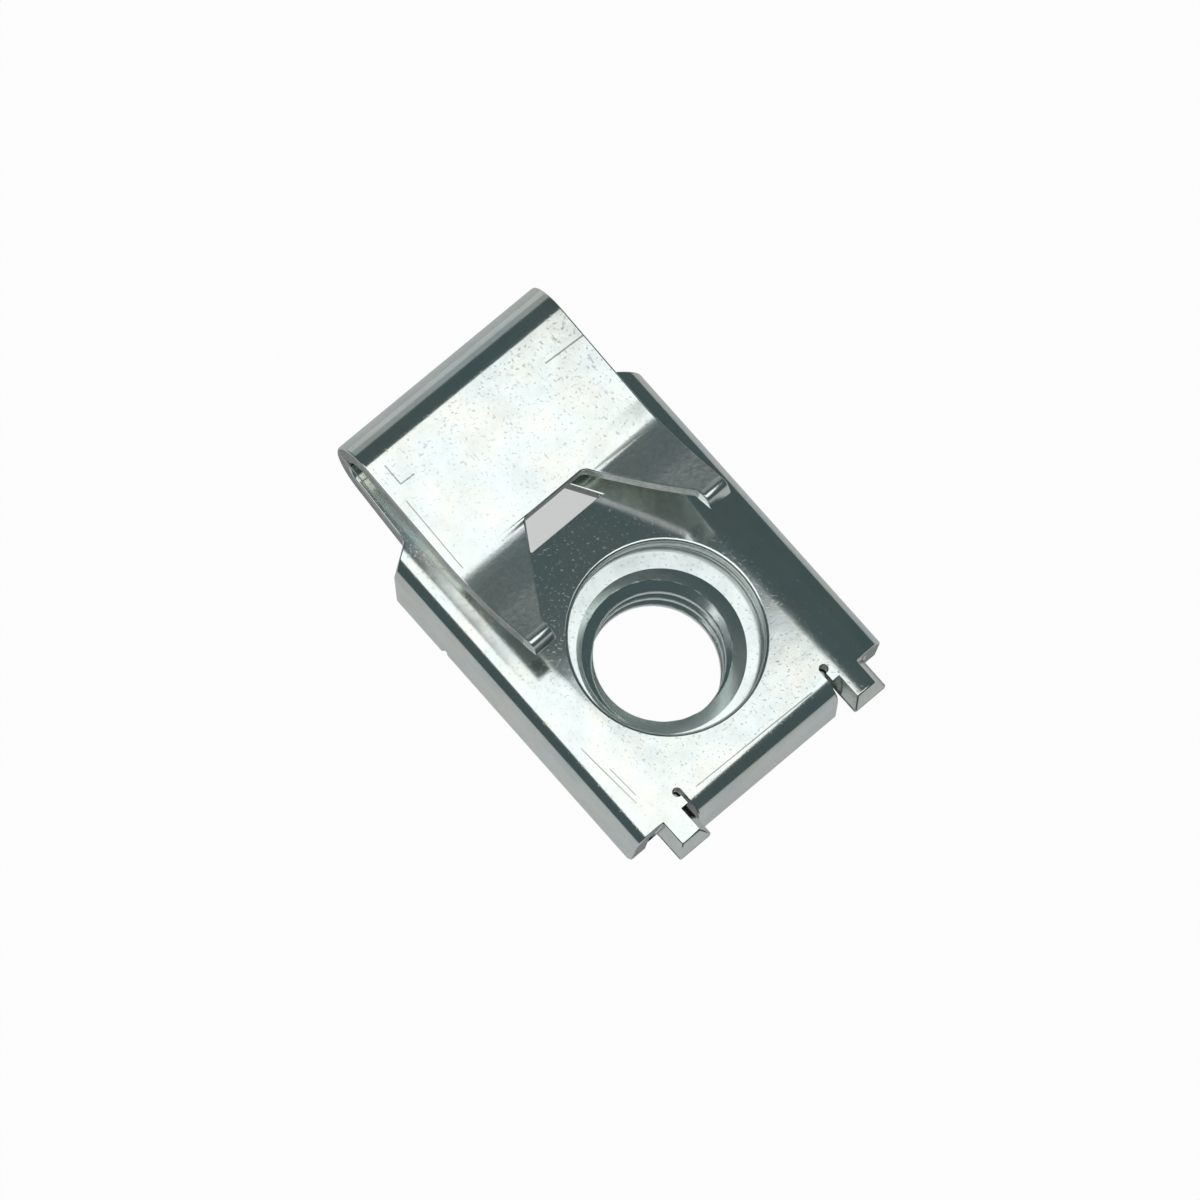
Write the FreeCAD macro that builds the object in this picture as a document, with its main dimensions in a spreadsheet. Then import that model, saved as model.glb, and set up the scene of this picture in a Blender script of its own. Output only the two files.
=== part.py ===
# Caged nut for a door hinge: a spring clip folded from one sheet, and the nut that floats in it.
#
# Frame: +X runs from the U-bend to the front of the cage, +Y across it, +Z up through the plate.
# The origin lies on the axis of the plate's round hole, at the plate's top face.
# All sizes are millimetres.

import FreeCAD, Part
import math
import os
import re
import Sketcher
from FreeCAD import Vector

doc = FreeCAD.newDocument("CagedNut")

# Driving sizes

SIZES = {
    # the sheet and its bends
    "sheet_thickness": 1.0,
    "bend_radius": 1.2,
    # the nut, and its play in the cage
    "block_width": 10.3,
    "play_across": 0.9,
    "play_along": 1.2,
    "play_up": 0.3,
    "base_side_clearance": 0.15,
    "nut_corner_radius": 0.8,
    "nut_height": 5.2,
    "thread_minor_diameter": 6.647,
    "thread_mouth_diameter": 8.45,
    # where the nut lies within its play
    "nut_forward": 0.2,
    "nut_aside": 0.38,
    # the cage: a plate with two long side flanges
    "cage_front": 6.95,
    "cage_depth": 4.6,
    "front_corner_cut": 0.7,
    # the rails that carry the nut, turned in at the foot of the flanges
    "rail_reach": 2.55,
    # the heels, turned in further behind the nut, as its rear stop
    "heel_front": 7.2,
    "heel_length": 3.9,
    "heel_reach": 3.85,
    "heel_drop": 0.3,
    "heel_slant": 0.8,
    "heel_slit_width": 0.3,
    "heel_slit_rise": 0.3,
    # the round hole in the plate
    "hole_diameter": 9.8,
    # the front flange, which is the nut's front stop, with a slit at each side
    "front_proud": 0.77,
    "front_inset": 3.55,
    "front_depth": 3.5,
    "front_lean": 0.3,
    "slit_width": 0.2,
    "slit_length": 0.3,
    "relief_diameter": 0.5,
    "relief_offset": 0.15,
    # the ears at the front corners
    "ear_length": 1.85,
    "ear_inset": 1.35,
    "ear_bevel_height": 0.65,
    "ear_bevel_angle": 34.0,
    # the window behind the plate
    "window_front": 7.55,
    "window_length": 2.6,
    "window_width": 4.7,
    "window_narrow_width": 1.4,
    # the strip: shoulders, limb, U-bend and spring arm
    "shoulder_slant": 0.95,
    "limb_inset": 1.4,
    "limb_length": 5.5,
    "u_radius": 0.84,
    "u_straight": 0.27,
    "arm_inset": 1.725,
    "arm_length": 8.95,
    "panel_gap": 1.3,
    "arm_low_radius": 6.0,
    "arm_rise_length": 2.8,
    "arm_rise": 0.8,
    "arm_rise_radius": 8.0,
    # the notch in the arm's end, and the two prongs it leaves
    "prong_length": 2.85,
    "prong_rise": 1.45,
    "prong_width": 1.35,
    "prong_straight": 1.1,
    "notch_depth": 5.8,
    "notch_width": 3.9,
    "notch_corner_radius": 0.5,
}

sheet = doc.addObject("Spreadsheet::Sheet", "Sizes")
for row, (name, size) in enumerate(SIZES.items(), start=1):
    sheet.set("A%d" % row, name.replace("_", " "))
    sheet.set("B%d" % row, repr(size))
    sheet.setAlias("B%d" % row, name)
doc.recompute()


# Every size's name holds an underscore, and nothing else in an expression does


def full(expression):
    """The expression with each size's name written out as a cell of the sheet."""
    return re.sub(r"\b([a-z]+_[a-z_]+)\b", r"Sizes.\1", expression)


def number(expression):
    """The expression's value now."""
    return float(sheet.evalExpression(full(expression)))


# Sketches


def origin_plane(body, role):
    """The body's own origin plane with that role."""
    return next(feature for feature in body.Origin.OriginFeatures if feature.Role == role)


def new_sketch(body, role, name, offset=None):
    """A sketch on one of the body's origin planes, moved along its normal by an expression."""
    sketch = body.newObject("Sketcher::SketchObject", name)
    sketch.AttachmentSupport = [(origin_plane(body, role), "")]
    sketch.MapMode = "FlatFace"
    if offset is not None:
        sketch.setExpression("AttachmentOffset.Base.z", full(offset))
    return sketch


def bind(sketch, constraint, expression):
    """Adds a constraint and ties its value to the expression."""
    index = sketch.addConstraint(constraint)
    sketch.setExpression("Constraints[%d]" % index, full(expression))


def pin(sketch, geometry, point, place):
    """Holds one point of the sketch at a pair of expressions measured from the origin."""
    across, along = place
    bind(sketch, Sketcher.Constraint("DistanceX", -1, 1, geometry, point, number(across)), across)
    bind(sketch, Sketcher.Constraint("DistanceY", -1, 1, geometry, point, number(along)), along)


def polygon(sketch, places):
    """Draws a closed outline of straight sides through pairs of expressions."""
    first = sketch.GeometryCount
    points = [Vector(number(across), number(along), 0) for across, along in places]
    for start, end in zip(points, points[1:] + points[:1]):
        sketch.addGeometry(Part.LineSegment(start, end), False)
    for index, place in enumerate(places):
        following = (index + 1) % len(places)
        sketch.addConstraint(Sketcher.Constraint("Coincident", first + index, 2, first + following, 1))
        pin(sketch, first + index, 1, place)
    return sketch


def mirrored(places):
    """The same places on the other side of the sketch's first axis."""
    return [(along, "-(%s)" % across) for along, across in places]


def circle(sketch, place, radius):
    """Draws a circle centred on a pair of expressions."""
    centre = Vector(number(place[0]), number(place[1]), 0)
    index = sketch.addGeometry(Part.Circle(centre, Vector(0, 0, 1), number(radius)), False)
    bind(sketch, Sketcher.Constraint("Radius", index, number(radius)), radius)
    pin(sketch, index, 3, place)
    return sketch


def turns_left(before, corner, after):
    """Whether the way from the first place to the last turns left at the corner."""
    return (corner - before).cross(after - corner).z > 0


def run(corners, radii):
    """Straight stretches through the corners, joined by tangent arcs of those radii.

    Each comes with the numbers of its two ends. A sketch's arcs run anticlockwise, so an arc
    that turns right is drawn from its far end.
    """
    start_to_end, end_to_start = (1, 2), (2, 1)
    pieces = []
    place = corners[0]
    for before, corner, after, radius in zip(corners, corners[1:], corners[2:], radii):
        inward = (corner - before).normalize()
        outward = (after - corner).normalize()
        turn = inward.getAngle(outward)
        first = corner - inward * (radius * math.tan(turn / 2))
        last = corner + outward * (radius * math.tan(turn / 2))
        to_centre = (outward - inward).normalize()
        middle = corner + to_centre * (radius / math.cos(turn / 2) - radius)
        pieces.append((Part.LineSegment(place, first), start_to_end))
        if turns_left(before, corner, after):
            pieces.append((Part.Arc(first, middle, last), start_to_end))
        else:
            pieces.append((Part.Arc(last, middle, first), end_to_start))
        place = last
    pieces.append((Part.LineSegment(place, corners[-1]), start_to_end))
    return pieces


def other_surface(corners, distance):
    """The corners of a sheet's other surface, to the left of the way the corners run."""
    lefts = []
    for first, last in zip(corners, corners[1:]):
        along = (last - first).normalize()
        lefts.append(Vector(-along.y, along.x, 0))
    moved = [corners[0] + lefts[0] * distance]
    for corner, before, after in zip(corners[1:], lefts, lefts[1:]):
        moved.append(corner + (before + after) * (distance / (1 + before.dot(after))))
    moved.append(corners[-1] + lefts[-1] * distance)
    return moved


def folded(sketch, places, radii):
    """Draws a folded sheet's section, whose thickness lies to the left of its places.

    The places are the corners of its first surface, and the radii are that surface's own.
    """
    corners = [Vector(number(across), number(along), 0) for across, along in places]
    other_radii = []
    for before, corner, after, radius in zip(corners, corners[1:], corners[2:], radii):
        sign = "-" if turns_left(before, corner, after) else "+"
        other_radii.append("%s %s sheet_thickness" % (radius, sign))
    other_corners = other_surface(corners, number("sheet_thickness"))
    near = run(corners, [number(radius) for radius in radii])
    far = run(other_corners, [number(radius) for radius in other_radii])
    sketch.addGeometry([piece for piece, ends in near + far], False)
    ends = [ends for piece, ends in near + far]
    count = len(near)
    start_cap = sketch.addGeometry(Part.LineSegment(corners[0], other_corners[0]), False)
    end_cap = sketch.addGeometry(Part.LineSegment(corners[-1], other_corners[-1]), False)
    for index in [*range(count - 1), *range(count, 2 * count - 1)]:
        joint = (index, ends[index][1], index + 1, ends[index + 1][0])
        sketch.addConstraint(Sketcher.Constraint("Tangent", *joint))
    for bend, (radius, other_radius) in enumerate(zip(radii, other_radii)):
        arc = 2 * bend + 1
        bind(sketch, Sketcher.Constraint("Radius", arc, number(radius)), radius)
        bind(sketch, Sketcher.Constraint("Radius", count + arc, number(other_radius)), other_radius)
        sketch.addConstraint(Sketcher.Constraint("Coincident", arc, 3, count + arc, 3))
        corner = sketch.addGeometry(Part.Point(corners[bend + 1]), True)
        sketch.addConstraint(Sketcher.Constraint("PointOnObject", corner, 1, arc - 1))
        sketch.addConstraint(Sketcher.Constraint("PointOnObject", corner, 1, arc + 1))
        pin(sketch, corner, 1, places[bend + 1])
    for cap, line, point in ((start_cap, 0, 1), (end_cap, count - 1, 2)):
        sketch.addConstraint(Sketcher.Constraint("Coincident", cap, 1, line, point))
        sketch.addConstraint(Sketcher.Constraint("Coincident", cap, 2, line + count, point))
        sketch.addConstraint(Sketcher.Constraint("Perpendicular", cap, line))
        sketch.addConstraint(Sketcher.Constraint("Parallel", line, line + count))
    pin(sketch, 0, 1, places[0])
    pin(sketch, count - 1, 2, places[-1])
    return sketch


# Features


def pad(body, sketch, length, midplane=False, reverse=False, taper=None):
    """Material of that length along the sketch's normal."""
    feature = body.newObject("PartDesign::Pad", sketch.Name + "_pad")
    feature.Profile = sketch
    feature.setExpression("Length", full(length))
    feature.Midplane = midplane
    feature.Reversed = reverse
    if taper is not None:
        feature.setExpression("TaperAngle", full(taper))
    doc.recompute()
    return feature


def pocket(body, sketch, length=None, midplane=False, reverse=False):
    """A cut of that length against the sketch's normal, or through everything."""
    before = body.Tip.Shape.Volume
    feature = body.newObject("PartDesign::Pocket", sketch.Name + "_cut")
    feature.Profile = sketch
    feature.Midplane = midplane
    feature.Reversed = reverse
    if length is None:
        feature.Type = "ThroughAll"
    else:
        feature.setExpression("Length", full(length))
    doc.recompute()
    if not feature.Shape.Volume < before:
        raise ValueError("%s cuts nothing" % feature.Name)
    return feature


SAME_PLACE = 1e-3
SAME_WAY = 0.999


def is_upright(edge):
    """Whether the edge is a straight one along Z."""
    return isinstance(edge.Curve, Part.Line) and abs(edge.Curve.Direction.z) > SAME_WAY


def edge_names(shape, wanted):
    """The names of the shape's edges that pass the test."""
    return ["Edge%d" % index for index, edge in enumerate(shape.Edges, start=1) if wanted(edge)]


def soften(body, kind, name, wanted, size_name, size):
    """A Fillet or a Chamfer on the edges of the body's tip that pass the test."""
    base = body.Tip
    feature = body.newObject("PartDesign::" + kind, name)
    feature.Base = (base, edge_names(base.Shape, wanted))
    feature.setExpression(size_name, full(size))
    doc.recompute()
    return feature


# How far a cutting outline runs past what it cuts
OVERSHOOT = 1.0
BELOW_EVERYTHING = "-(cage_depth + heel_drop + %s)" % OVERSHOOT

# Places and widths that follow from the sizes

RAIL_GAP = "(block_width + play_across)"
CAGE_WIDTH = "(%s + 2 * rail_reach)" % RAIL_GAP
HALF_CAGE = "(%s / 2)" % CAGE_WIDTH
CAGE_REAR = "(heel_front + heel_length)"
SHOULDER_REAR = "(%s + shoulder_slant)" % CAGE_REAR
HEEL_GAP = "(%s - 2 * heel_reach)" % CAGE_WIDTH
FRONT_FACE = "(cage_front + front_proud)"
FRONT_WIDTH = "(%s - 2 * front_inset)" % CAGE_WIDTH
SLIT_REAR = "(%s - bend_radius - slit_length)" % FRONT_FACE
HALF_MOUTH = "(%s / 2 + slit_width)" % FRONT_WIDTH
RELIEF_SIDE = "(%s / 2 + slit_width / 2 + relief_offset)" % FRONT_WIDTH
EAR_FRONT = "(cage_front + ear_length)"
EAR_SIDE = "(%s - ear_inset)" % HALF_CAGE
HALF_LIMB = "(%s - limb_inset)" % HALF_CAGE
HALF_ARM = "(%s - arm_inset)" % HALF_CAGE
BEND_REACH = "(%s + limb_length)" % SHOULDER_REAR
ARM_LOW = "(%s - arm_length)" % BEND_REACH
ARM_RISE = "(%s - arm_rise_length)" % ARM_LOW
PRONG_TIP = "(%s - prong_length)" % ARM_RISE
NOTCH_ROOT = "(%s + notch_depth)" % PRONG_TIP
PRONG_STRAIGHT = "(%s + prong_straight)" % PRONG_TIP
HALF_PRONG_GAP = "(%s - prong_width)" % HALF_ARM

# The spring clip, one folded sheet

clip = doc.addObject("PartDesign::Body", "spring_clip")
clip.Label = "spring_clip"
doc.recompute()

# the strip: the limb behind the plate, the U-bend and the spring arm above

ROUGH_SIDE = "(%s + %s)" % (HALF_LIMB, OVERSHOOT)
BEHIND_BEND = "-(%s + %s)" % (BEND_REACH, OVERSHOOT)
strip = new_sketch(clip, "XZ_Plane", "strip")
U_INSIDE = "-(%s - sheet_thickness)" % BEND_REACH
folded(strip, [
    ("-" + SHOULDER_REAR, "0"),
    (U_INSIDE, "0"),
    (U_INSIDE, "2 * u_radius + u_straight"),
    ("-" + ARM_LOW, "panel_gap"),
    ("-" + ARM_RISE, "panel_gap + arm_rise"),
    ("-" + PRONG_TIP, "panel_gap + arm_rise + prong_rise"),
], ["u_radius", "u_radius", "arm_low_radius", "arm_rise_radius"])
pad(clip, strip, "2 * %s" % ROUGH_SIDE, midplane=True)

# the strip narrows a little towards the U-bend, and the arm keeps that narrower width

limb_sides = new_sketch(clip, "XY_Plane", "limb_sides", "u_radius")
limb_side = [
    ("-" + SHOULDER_REAR, HALF_LIMB),
    ("-" + BEND_REACH, HALF_ARM),
    (BEHIND_BEND, HALF_ARM),
    (BEHIND_BEND, ROUGH_SIDE + " + %s" % OVERSHOOT),
    ("-" + SHOULDER_REAR, ROUGH_SIDE + " + %s" % OVERSHOOT),
]
polygon(limb_sides, limb_side)
polygon(limb_sides, mirrored(limb_side))
pocket(clip, limb_sides)

arm_sides = new_sketch(clip, "XY_Plane", "arm_sides", "u_radius")
arm_side = [
    (BEHIND_BEND, HALF_ARM),
    ("0", HALF_ARM),
    ("0", ROUGH_SIDE + " + %s" % OVERSHOOT),
    (BEHIND_BEND, ROUGH_SIDE + " + %s" % OVERSHOOT),
]
polygon(arm_sides, arm_side)
polygon(arm_sides, mirrored(arm_side))
pocket(clip, arm_sides, reverse=True)

# the notch that leaves the arm's two prongs

notch = new_sketch(clip, "XY_Plane", "arm_notch", "u_radius")
polygon(notch, [
    ("-" + NOTCH_ROOT, "-notch_width / 2"),
    ("-" + NOTCH_ROOT, "notch_width / 2"),
    ("-" + PRONG_STRAIGHT, HALF_PRONG_GAP),
    ("0", HALF_PRONG_GAP),
    ("0", "-" + HALF_PRONG_GAP),
    ("-" + PRONG_STRAIGHT, "-" + HALF_PRONG_GAP),
])
pocket(clip, notch, reverse=True)


def is_notch_corner(edge):
    """Whether the edge is one of the two upright ones at the notch's root."""
    place = edge.CenterOfMass
    at_root = abs(place.x + number(NOTCH_ROOT)) < SAME_PLACE
    return is_upright(edge) and at_root and abs(abs(place.y) - number("notch_width / 2")) < SAME_PLACE


soften(clip, "Fillet", "notch_corners", is_notch_corner, "Radius", "notch_corner_radius")

# the cage's section: rail, flange, plate, flange, rail


def cage_section(name, gap, depth):
    """The C-shaped section of the cage, drawn from one rail's edge round to the other's."""
    places = [
        (gap + " / 2", "-(%s)" % depth),
        (HALF_CAGE, "-(%s)" % depth),
        (HALF_CAGE, "0"),
        ("-" + HALF_CAGE, "0"),
        ("-" + HALF_CAGE, "-(%s)" % depth),
        ("-%s / 2" % gap, "-(%s)" % depth),
    ]
    sketch = new_sketch(clip, "YZ_Plane", name, "-heel_front")
    return folded(sketch, places, ["bend_radius"] * 4)


pad(clip, cage_section("heels", HEEL_GAP, "cage_depth + heel_drop"),
    SHOULDER_REAR + " - heel_front", reverse=True)
pad(clip, cage_section("cage", RAIL_GAP, "cage_depth"), "cage_front + heel_front")

# the plate's shoulders slant in from the flanges to the strip

BEHIND_SHOULDERS = "-(%s + %s)" % (SHOULDER_REAR, OVERSHOOT)
BESIDE_CAGE = "%s + %s" % (HALF_CAGE, OVERSHOOT)
shoulders = new_sketch(clip, "XY_Plane", "shoulders")
shoulder = [
    ("-" + SHOULDER_REAR, HALF_LIMB),
    ("-" + CAGE_REAR, HALF_CAGE),
    ("-" + CAGE_REAR, BESIDE_CAGE),
    ("-" + SHOULDER_REAR, BESIDE_CAGE),
]
polygon(shoulders, shoulder)
polygon(shoulders, mirrored(shoulder))
pocket(clip, shoulders)

# the flanges' rear edges lean forward, their front corners are cut, and a slit frees each heel

flange_ends = new_sketch(clip, "XZ_Plane", "flange_ends")
polygon(flange_ends, [
    ("-" + CAGE_REAR, "-bend_radius"),
    ("-(%s - heel_slant)" % CAGE_REAR, BELOW_EVERYTHING),
    (BEHIND_SHOULDERS, BELOW_EVERYTHING),
    (BEHIND_SHOULDERS, "-bend_radius"),
])
polygon(flange_ends, [
    ("cage_front", "-(cage_depth - 2 * front_corner_cut)"),
    ("cage_front + %s" % OVERSHOOT, "-(cage_depth - 2 * front_corner_cut)"),
    ("cage_front + %s" % OVERSHOOT, BELOW_EVERYTHING),
    ("cage_front - front_corner_cut", BELOW_EVERYTHING),
    ("cage_front - front_corner_cut", "-cage_depth"),
])
HEEL_SLIT_TOP = "-(cage_depth - sheet_thickness - heel_slit_rise)"
polygon(flange_ends, [
    ("-heel_front", HEEL_SLIT_TOP),
    ("-heel_front + heel_slit_width", HEEL_SLIT_TOP),
    ("-heel_front + heel_slit_width", BELOW_EVERYTHING),
    ("-heel_front", BELOW_EVERYTHING),
])
pocket(clip, flange_ends, midplane=True)

# the front flange, folded down from the plate between two slits

mouth = new_sketch(clip, "XY_Plane", "front_mouth")
polygon(mouth, [
    (SLIT_REAR, "-" + HALF_MOUTH),
    ("cage_front + %s" % OVERSHOOT, "-" + HALF_MOUTH),
    ("cage_front + %s" % OVERSHOOT, HALF_MOUTH),
    (SLIT_REAR, HALF_MOUTH),
])
pocket(clip, mouth, "sheet_thickness")

front_flange = new_sketch(clip, "XZ_Plane", "front_flange")
folded(front_flange, [
    (FRONT_FACE + " + front_lean", "-front_depth"),
    (FRONT_FACE, "0"),
    (SLIT_REAR, "0"),
], ["bend_radius"])
pad(clip, front_flange, FRONT_WIDTH, midplane=True)

# the ears, which carry the plate on past the front corners, with rolled-off free edges

ear = [
    (SLIT_REAR, HALF_MOUTH),
    (EAR_FRONT, HALF_MOUTH),
    (EAR_FRONT, EAR_SIDE),
    (SLIT_REAR, EAR_SIDE),
]
for side, outline in (("left", ear), ("right", mirrored(ear))):
    lower = new_sketch(clip, "XY_Plane", side + "_ear", "-sheet_thickness")
    pad(clip, polygon(lower, outline), "sheet_thickness - ear_bevel_height")
    upper = new_sketch(clip, "XY_Plane", side + "_ear_bevel", "-ear_bevel_height")
    pad(clip, polygon(upper, outline), "ear_bevel_height", taper="-ear_bevel_angle")

# the slits' round ends, the plate's hole and the window

openings = new_sketch(clip, "XY_Plane", "openings")
circle(openings, (SLIT_REAR, RELIEF_SIDE), "relief_diameter / 2")
circle(openings, (SLIT_REAR, "-" + RELIEF_SIDE), "relief_diameter / 2")
circle(openings, ("0", "0"), "hole_diameter / 2")
WINDOW_REAR = "-(window_front + window_length)"
polygon(openings, [
    ("-window_front", "-window_width / 2"),
    ("-window_front", "window_width / 2"),
    (WINDOW_REAR, "window_narrow_width / 2"),
    (WINDOW_REAR, "-window_narrow_width / 2"),
])
pocket(clip, openings, "sheet_thickness")

# The nut: a broad base that the rails hold, and a block that hangs between them

nut = doc.addObject("PartDesign::Body", "floating_nut")
nut.Label = "floating_nut"
doc.recompute()

BASE_THICKNESS = "(cage_depth - 2 * sheet_thickness - play_up)"
BASE_WIDTH = "(%s - 2 * (sheet_thickness + base_side_clearance) - play_across)" % CAGE_WIDTH
NUT_LENGTH = "(%s - sheet_thickness + heel_front - play_along)" % FRONT_FACE


def rectangle(sketch, length, width):
    """Draws a rectangle centred on the sketch's origin."""
    return polygon(sketch, [
        ("-%s / 2" % length, "-%s / 2" % width),
        ("%s / 2" % length, "-%s / 2" % width),
        ("%s / 2" % length, "%s / 2" % width),
        ("-%s / 2" % length, "%s / 2" % width),
    ])


def is_thread_mouth(edge):
    """Whether the edge is one of the threaded hole's two rims."""
    return isinstance(edge.Curve, Part.Circle) and edge.Closed


block = new_sketch(nut, "XY_Plane", "nut_block")
pad(nut, rectangle(block, NUT_LENGTH, "block_width"), "nut_height", reverse=True)
base = new_sketch(nut, "XY_Plane", "nut_base")
pad(nut, rectangle(base, NUT_LENGTH, BASE_WIDTH), BASE_THICKNESS, reverse=True)
soften(nut, "Fillet", "nut_corners", is_upright, "Radius", "nut_corner_radius")
bore = new_sketch(nut, "XY_Plane", "thread_bore")
pocket(nut, circle(bore, ("0", "0"), "thread_minor_diameter / 2"))
soften(nut, "Chamfer", "thread_mouths", is_thread_mouth, "Size",
       "(thread_mouth_diameter - thread_minor_diameter) / 2")

# its base rests on the rails, and it lies a little off centre within its play

nut.setExpression("Placement.Base.x", full("nut_forward"))
nut.setExpression("Placement.Base.y", full("-nut_aside"))
nut.setExpression("Placement.Base.z", full("%s - cage_depth + sheet_thickness" % BASE_THICKNESS))
doc.recompute()

# Checks and files

for thing in doc.Objects:
    if "Invalid" in thing.State or "Error" in thing.State:
        raise ValueError("%s is in the state %s" % (thing.Name, thing.State))
os.makedirs("parts", exist_ok=True)
for body in (clip, nut):
    shape = body.Shape
    if shape.isNull() or not shape.isValid() or len(shape.Solids) != 1:
        raise ValueError("%s is not one valid solid" % body.Label)
    shape.exportStep("parts/%s.step" % body.Label)
    box = shape.BoundBox
    print("%s: volume %.1f, x %.2f to %.2f, y %.2f to %.2f, z %.2f to %.2f" % (
        body.Label, shape.Volume, box.XMin, box.XMax, box.YMin, box.YMax, box.ZMin, box.ZMax))
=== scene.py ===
# %% [markdown]
# # A caged nut for a door hinge
#
# A spring clip folded from one zinc-plated sheet holds a floating nut under a round hole. The
# exact solids come from the frame. This lesson gives them what the solids leave out: the soft
# edges that punching and plating leave, the nut's thread, the worn zinc, and the studio.

# %% Load the frame
import math
import bmesh
import bpy
from mathutils import Matrix, Vector
from mathutils.bvhtree import BVHTree


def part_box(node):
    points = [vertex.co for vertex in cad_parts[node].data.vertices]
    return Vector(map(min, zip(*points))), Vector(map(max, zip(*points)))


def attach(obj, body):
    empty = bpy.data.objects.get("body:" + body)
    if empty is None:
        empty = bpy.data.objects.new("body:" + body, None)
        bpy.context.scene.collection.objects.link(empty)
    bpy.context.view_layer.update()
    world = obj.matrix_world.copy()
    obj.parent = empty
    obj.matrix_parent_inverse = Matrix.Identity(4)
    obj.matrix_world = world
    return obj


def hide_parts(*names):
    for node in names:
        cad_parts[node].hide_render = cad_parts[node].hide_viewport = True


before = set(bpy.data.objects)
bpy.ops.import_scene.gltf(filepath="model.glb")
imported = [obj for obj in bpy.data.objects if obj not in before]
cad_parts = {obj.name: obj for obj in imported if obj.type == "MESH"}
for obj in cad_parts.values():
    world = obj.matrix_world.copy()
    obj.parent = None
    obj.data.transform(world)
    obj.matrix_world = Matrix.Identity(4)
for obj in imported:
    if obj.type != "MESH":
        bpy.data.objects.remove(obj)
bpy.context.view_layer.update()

MM = 0.001

# %% [markdown]
# Everything below works in metres, as the frame does, and the sheet's sizes are quoted in
# millimetres and multiplied by MM. A few of them are read back from the solids, so that the looks
# follow the part when its sizes change: the nut's top and bottom, its hole's axis, and the clip's
# highest and lowest line.

# %% Measure the two pieces
clip_low, clip_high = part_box("spring_clip")
nut_low, nut_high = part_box("floating_nut")
nut_axis = (nut_low + nut_high) / 2
print("the nut stands from", round(nut_low.z / MM, 2), "to", round(nut_high.z / MM, 2), "mm")

# %% [markdown]
# Node trees are easier to read when making a node and joining it takes one line. The first helper
# adds a node, sets its properties, and feeds its inputs with values or with other nodes' sockets.
# The second does the same for the Math node, which these trees use most.

# %% Helpers for node trees
def add(tree, kind, inputs=None, **settings):
    """A new node. Its inputs, by name or number, take a value or another node's socket."""
    node = tree.nodes.new(kind)
    for name, value in settings.items():
        setattr(node, name, value)
    for key, value in (inputs or {}).items():
        if isinstance(value, bpy.types.NodeSocket):
            tree.links.new(value, node.inputs[key])
        else:
            node.inputs[key].default_value = value
    return node


def calc(tree, operation, *values, clamp=False):
    """The result socket of one Math node."""
    inputs = dict(enumerate(values))
    return add(tree, "ShaderNodeMath", inputs, operation=operation, use_clamp=clamp).outputs[0]


print("node helpers ready")

# %% [markdown]
# **Clean copies.** The frame's solids come as loose triangles. Before anything is done to a shape,
# a copy is merged and its flat regions are joined into single faces, so that edges are real edges
# and what rounds them meets no stray lines.

# %% Clean copies of the solids
MERGE_DISTANCE = 0.001 * MM
FLAT_ANGLE = math.radians(0.5)


def clean_copy(node_name, piece_name):
    """A mesh object with the node's shape, merged, with its flat regions joined."""
    piece = bpy.data.objects.new(piece_name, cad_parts[node_name].data.copy())
    bpy.context.scene.collection.objects.link(piece)
    mesh = bmesh.new()
    mesh.from_mesh(piece.data)
    bmesh.ops.remove_doubles(mesh, verts=mesh.verts, dist=MERGE_DISTANCE)
    bmesh.ops.dissolve_limit(
        mesh, angle_limit=FLAT_ANGLE, verts=mesh.verts, edges=mesh.edges)
    mesh.to_mesh(piece.data)
    mesh.free()
    return piece


clip = clean_copy("spring_clip", "folded_clip")
print("the clip has", len(clip.data.polygons), "faces")

# %% [markdown]
# **Cut faces.** A sheet's two skins are smooth, while the faces where the press sheared it are
# dull and streaked. Painting them by hand would have to be done again at every change, so each
# face is tested instead: a ray goes straight in, and where it comes out after one thickness of
# sheet, the face is skin. Where it doesn't, the face is a cut one, and an attribute says so.

# %% Mark the cut faces
SHEET_THICKNESS = 1.0 * MM
THICKNESS_SLACK = 0.06 * MM
JUST_INSIDE = 0.01 * MM


def mark_cut_faces(piece):
    """Stores 1 on the faces where the sheet was sheared, and 0 on its two skins."""
    mesh = piece.data
    mesh.calc_loop_triangles()
    corners = [vertex.co for vertex in mesh.vertices]
    tree = BVHTree.FromPolygons(corners, [face.vertices for face in mesh.loop_triangles])
    cut = mesh.attributes.new("cut_face", "FLOAT", "FACE")
    largest = {}
    for triangle in mesh.loop_triangles:
        known = largest.get(triangle.polygon_index)
        if known is None or triangle.area > known.area:
            largest[triangle.polygon_index] = triangle
    for index, triangle in largest.items():
        inward = -triangle.normal
        start = Vector(triangle.center) + inward * JUST_INSIDE
        depth = tree.ray_cast(start, inward)[3]
        is_skin = depth is not None and abs(depth - SHEET_THICKNESS) < THICKNESS_SLACK
        cut.data[index].value = 0.0 if is_skin else 1.0
    print("cut faces:", sum(1 for item in cut.data if item.value), "of", len(cut.data))


mark_cut_faces(clip)

# %% [markdown]
# **Soft edges.** A punched and plated sheet has no knife edges: each is rolled over by a tenth or
# two of a millimetre, and that narrow strip catches the light as a bright line. A Bevel modifier
# takes one width for all, so a helper does it in bmesh, as often as there are widths. The new
# strips count as skin, not as cut faces.

# %% A helper that rounds edges
SHARP_ANGLE = math.radians(40)
EDGE_SEGMENTS = 3
ROUND_PROFILE = 0.5


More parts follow.
